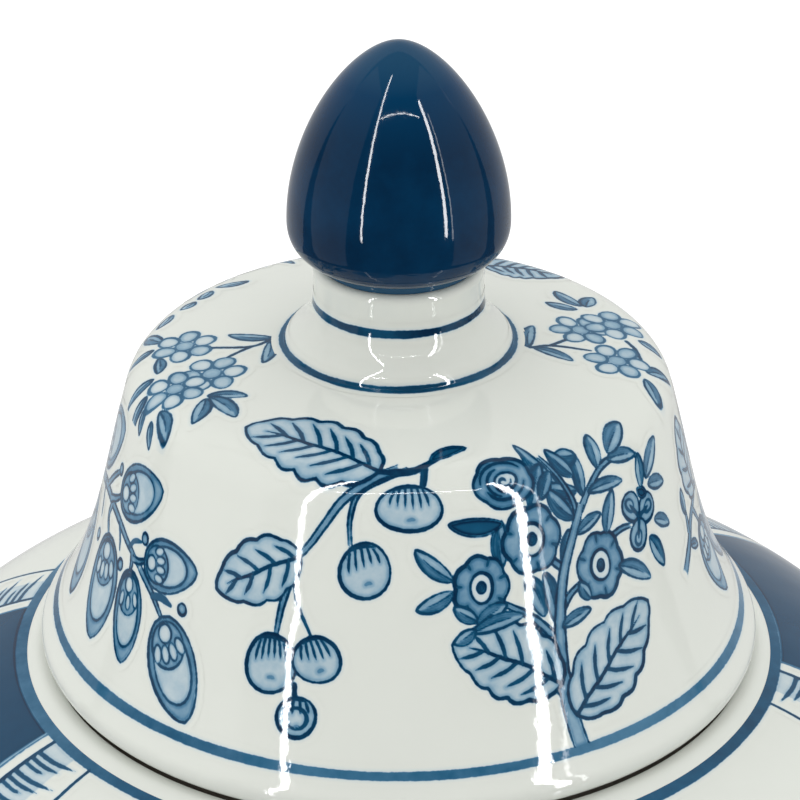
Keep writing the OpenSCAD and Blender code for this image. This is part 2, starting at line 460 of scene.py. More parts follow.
def flowering_branch(d):
    """A leafy branch with open flowers, right of the front."""
    w = wall
    small_leaves(d, wall, (
        (36.8, 40, 28.5, 23, 3.8), (38.2, 36, 31, 33, 3.0), (36.5, 41, 31.3, 34, 3.6),
        (39.6, 37.5, 40.3, 28.5, 3.2), (40.6, 29.5, 36, 28, 3.4), (38, 33, 34.5, 26.5, 3.4),
        (27, 37, 31.5, 29, 3.8), (29.5, 35.5, 33, 31, 3.0), (20, 47, 20.5, 38, 3.6),
        (26.5, 36, 28, 41.5, 3.4), (24.5, 50, 27.5, 58.5, 4.2), (28.4, 50, 29.5, 60, 3.2),
        (26, 62, 28.5, 73, 3.2), (33.5, 50.5, 35, 43, 2.6)), 0.08, 0.5)
    stems(d, ((1.5, (37.6, 41), (41.5, 36.5), (46, 33.6), (52, 33.4), (57, 35.5)),
              (1.3, (36.8, 42.5), (37, 38.5), (35, 33.5), (32, 27.5)),
              (1.5, (32.5, 50), (30.5, 47.5), (31, 42)),
              (1.3, (44.6, 48), (48, 47.4), (51, 47.8)),
              (1.7, (30.6, 65), (25.5, 58.5), (19.5, 54)),
              (1.6, (31, 58.6), (33.5, 55.8), (36.5, 54)),
              (3.0, (30.4, 86.4), (29.8, 76), (30, 67), (31, 58), (33, 50), (37, 42), (38.6, 39))))
    d.line([w(28.2, 74), w(27.4, 67), w(26, 60.5)], 1.0, 0.9, 0.8, 0.4)
    big_leaf(d, w(29.3, 72.5), w(9.6, 61), 15, -0.06, 5)
    big_leaf(d, w(30.9, 79.3), w(52, 64.2), 15, 0.04, 5)
    peony(d, w(22.2, 30.6), 7.2, 5.0)
    daisy(d, w(26.6, 42.8), 6.8, 6.6, 6)
    daisy(d, w(15.6, 50.4), 5.9, 6.2)
    daisy(d, w(41.4, 52.3), 6.2, 6.6, 6)
    trefoil(d, w(54, 47.2), 5.9, 10)
    small_leaves(d, wall, (
        (10.2, 48.3, 3.2, 42, 3.4), (10.2, 50.6, 3.3, 53.8, 3.2), (14.5, 56.8, 10.3, 53.6, 2.8),
        (14.4, 57.8, 20.3, 54.4, 3.2), (13.5, 59, 23.5, 57.2, 3.0), (14, 58.5, 10, 60.8, 2.6),
        (59, 50, 64.2, 53.4, 2.6), (56.2, 52.6, 59.3, 60, 3.6), (59, 42.6, 65.2, 44.8, 2.9),
        (58.6, 41, 65.5, 35.4, 4.0), (46, 54.2, 54.2, 60.2, 3.4), (44, 46.8, 47.5, 39.2, 3.4),
        (36.8, 44.4, 43.2, 42.4, 2.6), (41, 37.2, 50.8, 38.4, 2.6), (48, 33, 56.6, 35.2, 2.8),
        (31, 61.6, 37.6, 60, 2.6), (44.6, 33.6, 46.8, 27, 3.8), (48.6, 31.8, 57.2, 28.4, 4.2),
        (57.4, 35.5, 56.2, 42, 3.2), (38, 58, 36, 54, 2.6)))
    dark_leaf(d, w(20.8, 38.4), w(9.8, 37.4), 3.5, 0.05)
    dark_leaf(d, w(57.8, 43.8), w(54.8, 41.8), 2.2)


def side_spray(d):
    """A short twig with a bud, a pod and a leaf, at the lid's right-hand side."""
    w = wall
    stems(d, ((2.0, (66.5, 65.5), (71, 62), (76, 58), (84, 56)),
              (1.5, (72.5, 60), (73, 57), (73, 54)),
              (1.3, (78, 57.5), (80, 60.5), (81, 63))))
    small_leaves(d, wall, ((73, 56, 73, 50.5, 2.8), (72, 62.5, 76, 64.5, 2.0)))
    pod(d, w(80.5, 62), w(84, 80), 12)
    big_leaf(d, w(84, 56), w(81, 38.5), 13, 0.1, 4)
    stem(d, [w(84, 56), w(88, 57)], 1.4)


def crown_leaf(d):
    """The big leaf that lies across the front of the crown, with its twig."""
    stem(d, [(-5, -50.2), (-1, -49.2), (3, -48.6), (7, -45.6)], 1.5)
    big_leaf(d, (-3.6, -48.8), (-29.2, -33), 15.4, -0.02, 6)
    d.line([(-4, -49), (0, -49), (4, -48), (8, -44.6), (12, -42)], 1.6, 1, 0.6, 1)
    dark_leaf(d, (6, -46), (12.6, -41.6), 2.7)
    d.line([(4.8, -47.6), (4.8, -49), (4.6, -51)], 1.6, 0.95, 1, 1)


def hanging_leaves(d):
    """Leaves of the crown's left spray that hang over the bend on to the wall."""
    small_leaves(d, wall, ((-70, 31.2, -67.8, 36, 2.2), (-65, 32, -62.2, 36.6, 2.2)), 0.07)


def crown_blossoms_left(d):
    """The left-hand spray of the crown: three small flowers with leaves round them."""
    d.line([(-24.5, 0.5), (-29, -2.6), (-36, -1.6), (-39, -0.6)], 1.0, 0.95, 1, 0.7)
    d.line([(-29, -2.6), (-32, -4.8), (-34.5, -7)], 1.0, 0.95, 1, 0.7)
    small_leaves(d, crown, (
        (-25, 0.4, -33.8, 3.6, 2.6), (-25.4, -1, -26.6, -9.8, 2.6), (-47.5, -3, -47.4, -9, 2.2),
        (-48.4, -10.6, -53.4, -11.2, 2.4), (-37, -20.6, -29.4, -22.2, 2.4),
        (-36.6, -21.2, -31.4, -29.2, 3.4), (-37.4, -21.6, -39.6, -29.2, 3.2),
        (-46.4, -22, -45, -29.4, 2.6), (-47.2, 4, -50.6, 10.8, 2.6),
        (-49, 1.6, -53.6, 1.4, 2.4), (-49.6, -15, -53, -17.6, 2.4)), 0.07, 0.36)
    for x, y, r, turn in ((-42.6, 0.8, 6.4, 20), (-36.6, -12.2, 6.6, 0), (-43.6, -16.4, 6.2, 25)):
        blossom(d, (x, y), r, 6, turn)


def crown_blossoms_right(d):
    """The right-hand spray of the crown."""
    d.line([(26, -3.6), (30.5, -2), (38, -2.4)], 1.0, 0.95, 1, 0.7)
    d.line([(30, -2), (33, 1), (35, 3.4)], 1.0, 0.95, 1, 0.7)
    d.line([(45.4, 4), (47, 1), (48, -3)], 0.95, 0.9, 1, 0.7)
    small_leaves(d, crown, (
        (25.6, -3.4, 26.8, 6.2, 2.8), (26.8, -3.6, 34.2, -7.6, 2.7), (37, 18.6, 32, 25.2, 3.0),
        (38, 18.6, 39.6, 24, 3.2), (36, 16.6, 30, 18.6, 2.8), (48, 5.4, 52.2, 3.6, 2.6),
        (48.4, -10.4, 50.6, -15.8, 3.0), (49, -7.6, 53.6, -3.6, 2.4)), 0.07, 0.38)
    for x, y, r, turn in ((36.4, 6.6, 6.2, 10), (43, 11, 6.4, 35), (43.2, -5.2, 6.4, 0)):
        blossom(d, (x, y), r, 6, turn, 0.12)


def crown_back(d):
    """The leaves at the back of the crown."""
    big_leaf(d, (17.6, 37.6), (33.6, 34.2), 12.5, 0.1, 5)
    small_leaves(d, crown, (
        (-31, 31, -37.4, 29.6, 2.1), (-38.4, 27.6, -40.8, 23.6, 2.1), (-41.6, 22.4, -44.2, 19.4, 2.1),
        (-46, 17.8, -48.6, 12.6, 2.1), (-32, 45.6, -24, 47.4, 2.1)), 0.06, 0.22)


# Panels of the body: two dark ones at the sides, and a white one front and back
DARK_PANELS = (-81, 104)
DARK_HALF = (18.5, 20.5)
STRIPE = 2.6
RIBBON = 9.5
FEATHER_STEP = 5.9
PANEL_TOP = 2.2
PANEL_FOOT = 276
BODY_START = -111.5
# The strokes of one feather, in degrees across and millimetres down, each with its width and ink
FEATHER = ((((0, 0), (3.6, -0.5), (8, -1.9)), 1.15, 0.85),
           (((0, 1.7), (3.2, 1.4), (6.4, 0.5)), 1.0, 0.85),
           (((0, 3.3), (2.6, 3.1), (4.4, 2.6)), 0.9, 0.8))
FEATHERS_FROM = 6
LAPPETS = 28
LAPPET_FOOT = 313
LAPPET_TALL = 26


def body_place(degrees, down):
    """A place on the body: degrees round from the front, and millimetres down from the ledge."""
    return (degrees * BODY_MM_PER_DEG, -down)


def panel_borders(d):
    """The dark side panels, each edged with a white stripe and a feathered ribbon."""
    p = body_place

    def strip(left, right):
        return [p(left, PANEL_TOP), p(right, PANEL_TOP), p(right, PANEL_FOOT), p(left, PANEL_FOOT)]

    for centre, half in zip(DARK_PANELS, DARK_HALF):
        d.wash(strip(centre - half, centre + half), 0.96, 0.04)
        for side in (-1, 1):
            inner = centre + side * (half + STRIPE)
            outer = inner + side * RIBBON
            d.wash(strip(inner, inner + side * 0.62 * RIBBON), 0.12, 0.05)
            panel_edge = centre + side * (half + 0.25)
            for x, width, ink in ((panel_edge, 0.8, 0.6), (inner, 1.4, 0.92), (outer, 1.1, 0.9)):
                down = np.linspace(PANEL_TOP, PANEL_FOOT, 24)
                d.line([p(x + 0.12 * math.sin(0.05 * s + x), s) for s in down], width, ink, 1, 1)
            for i in range(round((PANEL_FOOT - FEATHERS_FROM) / FEATHER_STEP)):
                s = FEATHERS_FROM + FEATHER_STEP * i
                for stroke, width, ink in FEATHER:
                    d.line([p(inner + side * u, s + v) for u, v in stroke], width, ink, 1, 0.12)


def foot_border(d):
    """A row of upright lappets round the foot."""
    half = 0.42 * 360 / LAPPETS
    for i in range(LAPPETS):
        x = BODY_START + 360 * (i + 0.5) / LAPPETS
        arch = [body_place(x + half * u, LAPPET_FOOT - LAPPET_TALL * v) for u, v in
                ((-1, 0), (-1, 0.45), (-0.72, 0.76), (0, 1), (0.72, 0.76), (1, 0.45), (1, 0))]
        d.cell(spline(arch, 6), 0.2, 0.2, 1.0)
        d.line([body_place(x, LAPPET_FOOT - 3), body_place(x, LAPPET_FOOT - 18)], 2.2, 0.8, 0.6, 0.2)


def drawing_of(*parts):
    """The parts drawn one after another on a new sheet."""
    d = Drawing()
    for part in parts:
        part(d)
    return d


def enlarged(part, scale, centre, degrees, down):
    """A spray of the lid, made larger and moved so that its centre lands on the body place."""
    to = np.array(body_place(degrees, down))
    return drawing_of(part).move(lambda points: (points - np.array(centre)) * scale + to, 1.4)


def body_drawing():
    """Everything painted on the body but its rings: the same sprays on the front and the back."""
    d = drawing_of(panel_borders)
    for turn in (0, 182):
        d.add(enlarged(flowering_branch, 2.1, wall(31, 85), 14 + turn, 242))
        d.add(enlarged(cherry_sprig, 1.45, wall(-14, 30), -16 + turn, 64))
        d.add(enlarged(crown_blossoms_right, 1.35, (40, 5), 46 + turn, 82))
        d.add(enlarged(seed_pod_spray, 1.15, wall(-62, 57), -24 + turn, 234))
        d.add(enlarged(side_spray, 1.2, wall(76, 60), 53 + turn, 240))
    foot_border(d)
    return d


def lid_wall_drawing():
    """The lid's wall, with three of its sprays again on the back."""
    d = drawing_of(seed_pod_spray, cherry_sprig, side_spray, flowering_branch, hanging_leaves)
    again = drawing_of(seed_pod_spray, cherry_sprig, flowering_branch)
    d.add(again.move(lambda points: points + np.array([180 * WALL_MM_PER_DEG, 0.0])))
    return d


# ---- profiles

def arc(x, z, r, a0, a1, n):
    """Points on an arc, with angles taken from straight up towards the outside."""
    a = np.radians(np.linspace(a0, a1, n + 1))
    return np.stack([x + r * np.sin(a), z + r * np.cos(a)], 1)


def cubic(a, b, c, d, n):
    """Points on a cubic curve from a to d, leaving along a-b and arriving along c-d."""
    a, b, c, d = (np.array(v, float) for v in (a, b, c, d))
    t = np.linspace(0, 1, n + 1)[:, None]
    s = 1 - t
    return s ** 3 * a + 3 * s * s * t * b + 3 * s * t * t * c + t ** 3 * d


def join(*runs):
    """Runs of points end to end, dropping a point that repeats the one before it."""
    points = np.vstack(runs)
    keep = np.r_[True, np.hypot(*np.diff(points, axis=0).T) > 1e-6]
    return points[keep]


def beside(points, d):
    """A run moved sideways by d, to the left of its direction of travel."""
    run = np.gradient(points, axis=0)
    run /= np.linalg.norm(run, axis=1)[:, None]
    return points + d * np.stack([-run[:, 1], run[:, 0]], 1)


def heading(degrees):
    """The direction at an angle taken from straight up towards the outside."""
    return np.array([math.sin(math.radians(degrees)), math.cos(math.radians(degrees))])


def angle_at(out, radius):
    """The heading from an arc's centre to the place on it that lies that far out."""
    return math.degrees(math.asin(out / radius))


CROWN_Z = REST_Z + CROWN_H - CROWN_R
BEND_ANGLE = angle_at(BEND_AT, CROWN_R - BEND_R)
BEND_Z = CROWN_Z + (CROWN_R - BEND_R) * math.cos(math.radians(BEND_ANGLE))
FLARE_Z = CROWN_Z + math.sqrt(CROWN_R ** 2 - FLARE_R ** 2)
STEM_Z = FLARE_Z + FLARE_H
STEM_TOP = STEM_Z + STEM_H
LIP_Z = REST_Z + LIP_ROLL
BELLY_Z = LEDGE_Z - BELLY_DOWN
SHOULDER_X = BODY_R - SHOULDER_R
LEDGE_ANGLE = angle_at(LEDGE_R - SHOULDER_X, SHOULDER_R)
COLLAR_TOP = LEDGE_Z + COLLAR_H


def skirt_curve(n):
    """The lid's flared wall, from the bend under the crown down to the rolled lip."""
    top = np.array([BEND_AT, BEND_Z]) + BEND_R * heading(SKIRT_ANGLE)
    low = np.array([LIP_X, LIP_Z]) + LIP_ROLL * heading(LIP_ANGLE)
    return cubic(top, top + 21.6 * heading(SKIRT_ANGLE + 90),
                 low - 17.8 * heading(LIP_ANGLE + 90), low, n)


def stem_curve():
    """The stem and its flare, from the knob's seat down to the crown."""
    round_r = 1.5
    top = STEM_TOP - round_r
    return join(
        arc(STEM_R - round_r, top, round_r, 0, 90, 8),
        cubic((STEM_R, top), (STEM_R - 0.2, top - 1.5),
              (STEM_R - 0.2, STEM_Z + 2), (STEM_R - 0.05, STEM_Z), 14),
        cubic((STEM_R - 0.05, STEM_Z), (STEM_R + 0.3, STEM_Z - 6.6),
              (FLARE_R - 0.85, FLARE_Z + 4.2), (FLARE_R, FLARE_Z), 40))


def lid_wall_curve():
    """The lid's outside from the flare's edge over the crown and down to the lip's underside."""
    return join(
        arc(0, CROWN_Z, CROWN_R, angle_at(FLARE_R, CROWN_R), BEND_ANGLE, 24),
        arc(BEND_AT, BEND_Z, BEND_R, BEND_ANGLE, SKIRT_ANGLE, 24),
        skirt_curve(70),
        arc(LIP_X, LIP_Z, LIP_ROLL, LIP_ANGLE, 180, 24))


def lid_inside_curve():
    """The lid's inside, from under the lip up to the hole for the knob's tenon."""
    within = CROWN_R - LID_WALL
    inner = beside(skirt_curve(70), -LID_WALL)[:56]
    return join(
        arc(LIP_X, LIP_Z, LIP_ROLL, 180, 255, 12),
        inner[::-1],
        arc(BEND_AT, BEND_Z, BEND_R - LID_WALL, SKIRT_ANGLE, BEND_ANGLE, 14),
        arc(0, CROWN_Z, within, BEND_ANGLE, angle_at(TENON_R, within), 16))


FOOT_TOP = np.array([FOOT_R - 0.5, 9.0])


def body_wall_curve(n):
    """The lower wall, from the foot up to the widest point."""
    return cubic(FOOT_TOP, FOOT_TOP + 90 * heading(18), (BODY_R, BELLY_Z - 105), (BODY_R, BELLY_Z), n)


def shoulder_arc(n):
    """The shoulder, from the ledge's edge out to the widest point."""
    return arc(SHOULDER_X, BELLY_Z, SHOULDER_R, LEDGE_ANGLE, 90, n)


def body_outside_curve():
    """The body's outside from the ledge's edge down over the shoulder to the foot."""
    return join(shoulder_arc(60), body_wall_curve(110)[::-1])


def foot_curve():
    """The foot ring and the raised base inside it."""
    inside = FOOT_R - FOOT_RING
    edge = 1.5
    return join(arc(FOOT_R - edge, edge, edge, 90, 180, 8), [(inside, 0)],
                [(inside - 2, BASE_Z), (0, BASE_Z)])


def body_inside_curve():
    """The inside of the body, from the middle of its floor up to the neck."""
    floor_z, fillet = 12, 10
    inner = beside(body_wall_curve(110), WALL)
    inner = inner[inner[:, 1] > floor_z + fillet]
    low = inner[0, 0] - fillet
    within = SHOULDER_R - WALL
    neck = angle_at(COLLAR_R - COLLAR_WALL - SHOULDER_X, within)
    return join(
        [(0, floor_z)],
        arc(low, floor_z + fillet, fillet, 180, 90, 12),
        inner,
        arc(SHOULDER_X, BELLY_Z, within, 90, neck, 48))


def collar_curve():
    """The collar, and the ledge with its seat groove, from inside the mouth out to the ledge's edge."""
    half = COLLAR_WALL / 2
    groove = LEDGE_Z - SEAT_DEEP
    return join(
        [(COLLAR_R - COLLAR_WALL, LEDGE_Z - 2)],
        arc(COLLAR_R - half, COLLAR_TOP - half, half, -90, 90, 16),
        [(COLLAR_R, LEDGE_Z + 1)],
        arc(COLLAR_R + 1, LEDGE_Z + 1, 1, 270, 180, 5),
        [(SEAT_R - 1.0, LEDGE_Z), (SEAT_R - 0.9, groove), (SEAT_END - 0.4, groove)],
        arc(SEAT_END, LEDGE_Z - 0.3, 0.3, 270, 360, 4),
        cubic((LEDGE_R - 3, LEDGE_Z), (LEDGE_R - 2, LEDGE_Z),
              (LEDGE_R - 1, LEDGE_Z - 0.6), shoulder_arc(1)[0], 8))


def knob_curve():
    """The knob, from its seat on the stem up to its tip."""
    tip = STEM_TOP + KNOB_H
    wide = STEM_TOP + 9.2
    return join(
        cubic((STEM_R - 1.5, STEM_TOP), (STEM_R - 1.3, STEM_TOP + 0.8),
              (STEM_R - 1.2, STEM_TOP + 1.4), (STEM_R - 0.6, STEM_TOP + 2), 10),
        cubic((STEM_R - 0.6, STEM_TOP + 2), (STEM_R + 3, STEM_TOP + 2.6),
              (KNOB_R, STEM_TOP + 5.2), (KNOB_R, wide), 28),
        cubic((KNOB_R, wide), (KNOB_R, wide + 18.8), (KNOB_R * 0.41, tip - 0.5), (0, tip), 60))


class Surface:
    """A turned surface, addressed by millimetres along its profile and degrees round the axis."""

    def __init__(self, points):
        self.points = points
        self.s = np.r_[0, np.cumsum(np.hypot(*np.diff(points, axis=0).T))]
        run = np.gradient(points, axis=0)
        run /= np.linalg.norm(run, axis=1)[:, None]
        self.normal = np.stack([-run[:, 1], run[:, 0]], 1)

    def radius(self, s):
        return np.interp(s, self.s, self.points[:, 0])

    def at(self, s, degrees, lift):
        """The point in metres at a place on the surface, lifted off it."""
        n = np.stack([np.interp(s, self.s, self.normal[:, k]) for k in (0, 1)], -1)
        r = np.interp(s, self.s, self.points[:, 0]) + lift * n[..., 0]
        z = np.interp(s, self.s, self.points[:, 1]) + lift * n[..., 1]
        a = np.radians(degrees)
        return np.stack([r * np.sin(a), -r * np.cos(a), z], -1) * MM


# ---- meshes

def new_object(name, data):
    """An object in the scene that shows the data."""
    made = bpy.data.objects.new(name, data)
    bpy.context.collection.objects.link(made)
    return made


def new_piece(name, verts, faces, finish):
    """A smooth mesh piece. finish is its material, the body it rides on and its slot in the record, which is
    not used.
    """
    material, body, slot = finish
    mesh = bpy.data.meshes.new(name)
    mesh.from_pydata(verts.tolist(), [], faces)
    mesh.polygons.foreach_set("use_smooth", [True] * len(mesh.polygons))
    mesh.update()
    mesh.materials.append(material)
    piece = new_object(name, mesh)
    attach(piece, body)
    return piece


def lathe(name, profile, finish, turns=256):
    """A closed turned solid. The profile starts and ends on the axis, or is a closed ring."""
    a = np.linspace(0, 2 * np.pi, turns, endpoint=False)
    verts, rows = [], []
    for r, z in profile:
        if r < ON_AXIS:
            rows.append([len(verts)] * turns)
            verts.append((0.0, 0.0, z))
        else:
            rows.append(range(len(verts), len(verts) + turns))
            verts += [(r * math.sin(t), -r * math.cos(t), z) for t in a]
    if profile[0, 0] > ON_AXIS:
        rows.append(rows[0])
    faces = []
    for upper, lower in zip(rows[:-1], rows[1:]):
        for k in range(turns):
            m = (k + 1) % turns
            corners = dict.fromkeys((upper[k], lower[k], lower[m], upper[m]))
            faces.append(tuple(corners))
    return new_piece(name, np.array(verts) * MM, faces, finish)


def painted(name, surface, s, degrees, marks, lift, finish):
    """A skin of paint over a surface: only the cells that carry some colour are kept.

    marks gives the line, ink and wash values from the grid's s and degrees.
    """
    grid_s, grid_a = np.meshgrid(s, degrees, indexing="ij")
    line, ink, wash = (v.reshape(grid_s.shape) for v in marks(grid_s.ravel(), grid_a.ravel()))
    some = (line < LINE_KEPT) | (wash > WASH_KEPT)
    cell = some[:-1, :-1] | some[1:, :-1] | some[:-1, 1:] | some[1:, 1:]
    rows, cols = np.nonzero(cell)
    width = grid_s.shape[1]
    corner = np.stack([rows * width + cols, (rows + 1) * width + cols,
                       (rows + 1) * width + cols + 1, rows * width + cols + 1], 1)
    used, faces = np.unique(corner, return_inverse=True)
    points = surface.at(grid_s.ravel()[used], grid_a.ravel()[used], lift)
    piece = new_piece(name, points, faces.reshape(-1, 4).tolist(), finish)
    for label, values in (("line", line), ("ink", ink), ("wash", wash)):
        layer = piece.data.attributes.new(label, "FLOAT", "POINT")
        layer.data.foreach_set("value", values.ravel()[used].astype(np.float32))


def nearest(first, second):
    """Two sets of marks as one: the nearer line wins, and the stronger wash."""
    nearer = second[0] < first[0]
    return (np.where(nearer, second[0], first[0]), np.where(nearer, second[1], first[1]),
            np.maximum(first[2], second[2]))


def band(centre, width, strength, wobble):
    """The marks of a hand-drawn band right round the jar, a little uneven in width and height."""
    def marks(down, degrees):
        t = np.radians(degrees)
        drift = wobble * (np.sin(2 * t + centre) + 0.6 * np.sin(5 * t + 2 * centre))
        half = 0.5 * width * (1 + 0.09 * np.sin(3 * t + centre) + 0.05 * np.sin(11 * t))
        ink = strength * (1 + 0.1 * np.sin(t + 0.7 * centre) + 0.06 * np.sin(7 * t))
        return np.abs(down - centre - drift) - half, ink, np.zeros(down.shape)

    return marks


def ring(name, surface, centre, width, strength, wobble, finish):
    """A band on a skin of its own, with a margin beside it for the colour to fade out in."""
    reach = 0.5 * width + RING_MARGIN
    s = centre + np.linspace(-reach, reach, 19)
    painted(name, surface, s, np.linspace(-180, 180, 541), band(centre, width, strength, wobble),
            RING_LIFT, finish)


# ---- materials

def linear(r, g, b):
    """A colour given as it looks on screen, 0 to 255, turned into the shader's linear values."""
    def one(v):
        v = v / 255
        return v / 12.92 if v <= 0.04045 else ((v + 0.055) / 1.055) ** 2.4

    return (one(r), one(g), one(b), 1.0)


# Cobalt under a clear glaze, from bare white to the darkest pooled line
COBALT = (
    (0.00, linear(208, 211, 204)),
    (0.10, linear(184, 196, 199)),
    (0.28, linear(129, 159, 177)),
    (0.50, linear(72, 117, 146)),
    (0.74, linear(16, 76, 108)),
    (1.00, linear(0, 36, 64)))
# The white glaze's least and greatest roughness, and its ripple
WHITE_GLOSS = (0.03, 0.055, 0.22)


class Nodes:
    """A short way to lay out a material's nodes."""

    def __init__(self, name):
        self.material = bpy.data.materials.new(name)
        self.material.use_nodes = True
        self.tree = self.material.node_tree
        self.shader = self.tree.nodes["Principled BSDF"]
        self.place = self.add("TexCoord").outputs["Object"]

    def add(self, kind, inputs=(), **settings):
        """A node with these settings, and with numbers or sockets fed to its inputs."""
        node = self.tree.nodes.new("ShaderNode" + kind)
        for key, value in settings.items():
            setattr(node, key, value)
        for key, source in dict(inputs).items():
            self.link(source, node.inputs[key])
        return node

    def link(self, source, target):
        """Join a socket to another, or set it where the source is a number."""
        if isinstance(source, (int, float)):
            target.default_value = source
        else:
            self.tree.links.new(source, target)

    def feed(self, key, source):
        """The same for an input of the shader."""
        self.link(source, self.shader.inputs[key])

    def noise(self, scale, detail=2.0, rough=0.5):
        inputs = {"Scale": scale, "Detail": detail, "Roughness": rough, "Vector": self.place}
        return self.add("TexNoise", inputs).outputs["Fac"]

    def math(self, operation, a, b=0.0, c=0.0):
        return self.add("Math", enumerate((a, b, c)), operation=operation).outputs[0]

    def spread(self, value, low, high, out_low, out_high, ease="LINEAR"):
        inputs = {"Value": value, "From Min": low, "From Max": high, "To Min": out_low, "To Max": out_high}
        return self.add("MapRange", inputs, interpolation_type=ease).outputs["Result"]

    def ramp(self, value, stops):
        node = self.add("ValToRGB", {"Fac": value})
        points = node.color_ramp.elements
        for place, colour in stops[1:-1]:
            points.new(place)
        for point, (place, colour) in zip(sorted(points, key=lambda e: e.position), stops):
            point.position = place
            point.color = colour
        return node.outputs["Color"]

    def shade(self, colour, amount):
        """The colour, multiplied by a grey amount."""
        grey = self.add("CombineColor", {"Red": amount, "Green": amount, "Blue": amount}).outputs["Color"]
        inputs = {"Factor": 1.0, "A": colour, "B": grey}
        mix = self.add("Mix", inputs, data_type="RGBA", blend_type="MULTIPLY")
        return mix.outputs["Result"]

    def bump(self, height, strength, distance, **under):
        """The normal of a surface that rises by up to a distance in metres, over another if given."""
        inputs = {"Height": height, "Strength": strength, "Distance": distance, **under}
        return self.add("Bump", inputs).outputs["Normal"]

    def gloss(self, low, high, ripple, ior=1.45):
        """A glassy surface with a faint ripple, as a fired glaze has."""
        self.feed("Roughness", self.spread(self.noise(55, 3), 0.35, 0.65, low, high))
        broad = self.bump(self.noise(70, 1, 0.4), ripple, 0.0009)
        self.feed("Normal", self.bump(self.noise(700, 2, 0.5), ripple, 0.00006, Normal=broad))
        self.feed("IOR", ior)


def cobalt_colour(n, density):
    """Cobalt colour for a paint density, over a white that is very slightly cloudy."""
    colour = n.ramp(density, COBALT)
    return n.shade(colour, n.spread(n.noise(26, 4, 0.55), 0.3, 0.7, 0.965, 1.0))


def white_glaze():
    """The clear glaze over white clay."""
    n = Nodes("white_glaze")
    n.feed("Base Color", cobalt_colour(n, 0.0))
    n.gloss(*WHITE_GLOSS)
    return n.material


def painted_glaze():
    """The same glaze over brushwork, which reads the line, ink and wash laid down on the mesh."""
    n = Nodes("painted_glaze")
    line, ink, wash = (n.add("Attribute", attribute_name=k).outputs["Fac"]
                       for k in ("line", "ink", "wash"))
    grain = n.noise(900, 2)
    pooling = n.noise(240, 3, 0.6)
    rough_edge = n.math("MULTIPLY_ADD", n.math("SUBTRACT", grain, 0.5), 0.3, line)
    core = n.spread(rough_edge, 0.14, -0.14, 0.0, 1.0, "SMOOTHSTEP")
    bleed = n.spread(line, 0.0, 0.9, 0.055, 0.0, "SMOOTHSTEP")
    gathered = n.spread(line, 0.0, 0.8, 1.15, 0.92, "SMOOTHSTEP")
    dark = n.math("MULTIPLY", ink, n.spread(pooling, 0.3, 0.7, 0.9, 1.04))
    uneven = n.math("MULTIPLY", n.spread(pooling, 0.3, 0.7, -0.36, 0.24), n.math("SUBTRACT", 1.0, wash))
    pale = n.math("MULTIPLY", n.math("MULTIPLY", wash, gathered), n.math("ADD", 1.0, uneven))
    ground = n.math("ADD", bleed, pale)
    rest = n.math("MULTIPLY", n.math("SUBTRACT", 1.0, core), ground)
    density = n.math("MULTIPLY_ADD", core, n.math("MAXIMUM", dark, ground), rest)
    n.feed("Base Color", cobalt_colour(n, density))
    n.gloss(*WHITE_GLOSS)
    return n.material


def navy_glaze():
    """Thick dark blue glaze that breaks paler where it thins: on the edge, the collar and the tip."""
    n = Nodes("navy_glaze")
    height = n.add("SeparateXYZ", {"Vector": n.place}).outputs["Z"]
    z = n.math("MULTIPLY_ADD", n.math("SUBTRACT", n.noise(180, 3), 0.5), 0.0008, height)
    edge = (STEM_TOP + 2.1) * MM
    off_edge = n.math("ABSOLUTE", n.math("SUBTRACT", z, edge))
    thin = n.spread(off_edge, 0.0, 0.0009, 0.95, 0.0, "SMOOTHSTEP")
    collar = n.spread(z, edge, edge - 0.0004, 0.0, 0.46)
    tip = n.spread(z, (STEM_TOP + KNOB_H - 22) * MM, (STEM_TOP + KNOB_H) * MM, 0.0, 0.4, "SMOOTHSTEP")
    cloud = n.spread(n.noise(75, 4, 0.6), 0.35, 0.7, 0.0, 0.22)
    amount = n.math("MAXIMUM", n.math("MAXIMUM", thin, collar), n.math("MAXIMUM", tip, cloud))
    colour = n.ramp(amount, ((0.0, linear(0, 32, 58)), (0.3, linear(0, 48, 80)),
                             (0.6, linear(52, 88, 112)), (1.0, linear(112, 126, 134))))
    n.feed("Base Color", colour)
    n.gloss(0.03, 0.06, 0.12, 1.33)
    return n.material


def matt_clay_and_shade(name, dark, pale):
    """A rough matt surface between two tones. With pale tones it is the unglazed clay where the piece stood
    in the kiln; with dark tones it is painted shade.
    """
    n = Nodes(name)
    n.feed("Base Color", n.ramp(n.noise(320, 5, 0.7), ((0.25, linear(*dark)), (0.75, linear(*pale)))))
    n.feed("Roughness", 0.85)
    n.feed("Normal", n.bump(n.noise(1400, 3), 0.4, 0.0002))
    return n.material


def floor_white():
    """A matt, near-white floor."""
    n = Nodes("floor_white")
    n.feed("Base Color", n.ramp(n.noise(3, 2), ((0.3, (0.96, 0.96, 0.96, 1)), (0.7, (0.98, 0.98, 0.98, 1)))))
    n.feed("Roughness", 0.9)
    n.feed("Specular IOR Level", 0.0)
    return n.material


# ---- the jar

JAR_SLOT = "white_glaze_jar"
LID_SLOT = "white_glaze_lid"
# Millimetres down the lid from the flare, and down the body from the ledge: where the finer grid ends, how
# far the crown's drawing reaches over the bend, and where the paint ends
CROWN_LIMIT = 24.0
CROWN_REACH = 35.5
SKIRT_END = 88.0
SHOULDER_END = 60.0
BODY_END = 316.0
# The painted skins and the angle where each starts, chosen so that their edges cross little paint
LID_SECTORS = (("pods", -100), ("cherries", -36), ("branch", 9), ("side", 66.5),
               ("back_cherries", 145), ("back_branch", 189))
CROWN_SECTORS = (("left", -130), ("front", -40), ("right", 50), ("back", 130))
BODY_SECTORS = (("left", BODY_START), ("front", -48.5), ("right", 70.5), ("back", 133.5))


